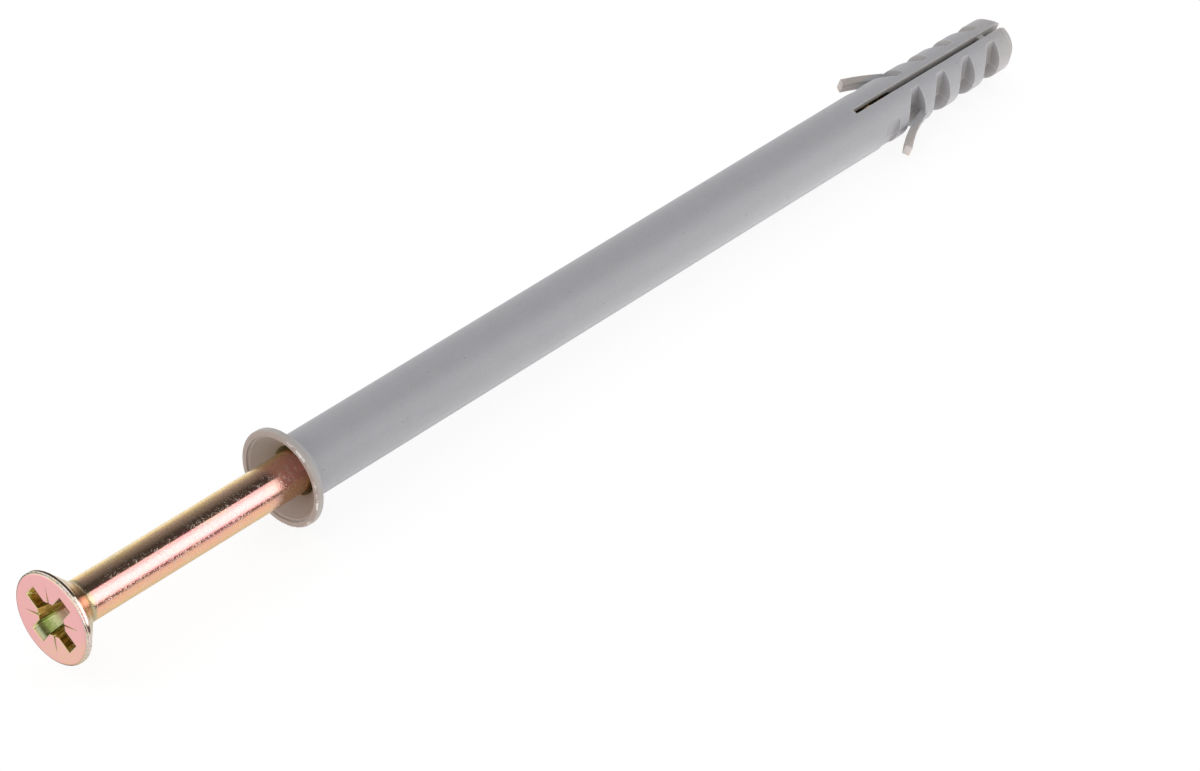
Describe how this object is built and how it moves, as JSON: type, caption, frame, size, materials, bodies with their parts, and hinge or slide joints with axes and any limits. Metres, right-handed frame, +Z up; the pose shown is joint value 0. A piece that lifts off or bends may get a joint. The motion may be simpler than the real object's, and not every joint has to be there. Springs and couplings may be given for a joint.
{
  "type": "frame fixing",
  "caption": "Long nylon wall plug sleeve with flared collar, slotted notched tip and two side barbs, with a countersunk cross-recess screw partly driven in.",
  "frame": {"origin": "under the middle of the fixing's axis at the level of its lowest point, which is the centre of the underside of its box to within 0.4 mm", "axes": "+X from the screw head towards the tip of the sleeve, the way it is driven in; +Z up"},
  "size_m": [0.2028, 0.016, 0.0149],
  "materials": {
    "nylon": "cool mid-grey moulded nylon, matt, with a faint parting line",
    "passivated_steel": "zinc-plated steel with yellow iridescent passivation"
  },
  "bodies": {
    "sleeve": {"sleeve": "nylon"},
    "screw": {"screw": "passivated_steel"}
  },
  "joints": [
    {"name": "screw_drive", "type": "slide", "parent": "sleeve", "child": "screw", "axis": [1, 0, 0], "range_m": [0, 0.0414], "deforming": ["sleeve"]}
  ]
}
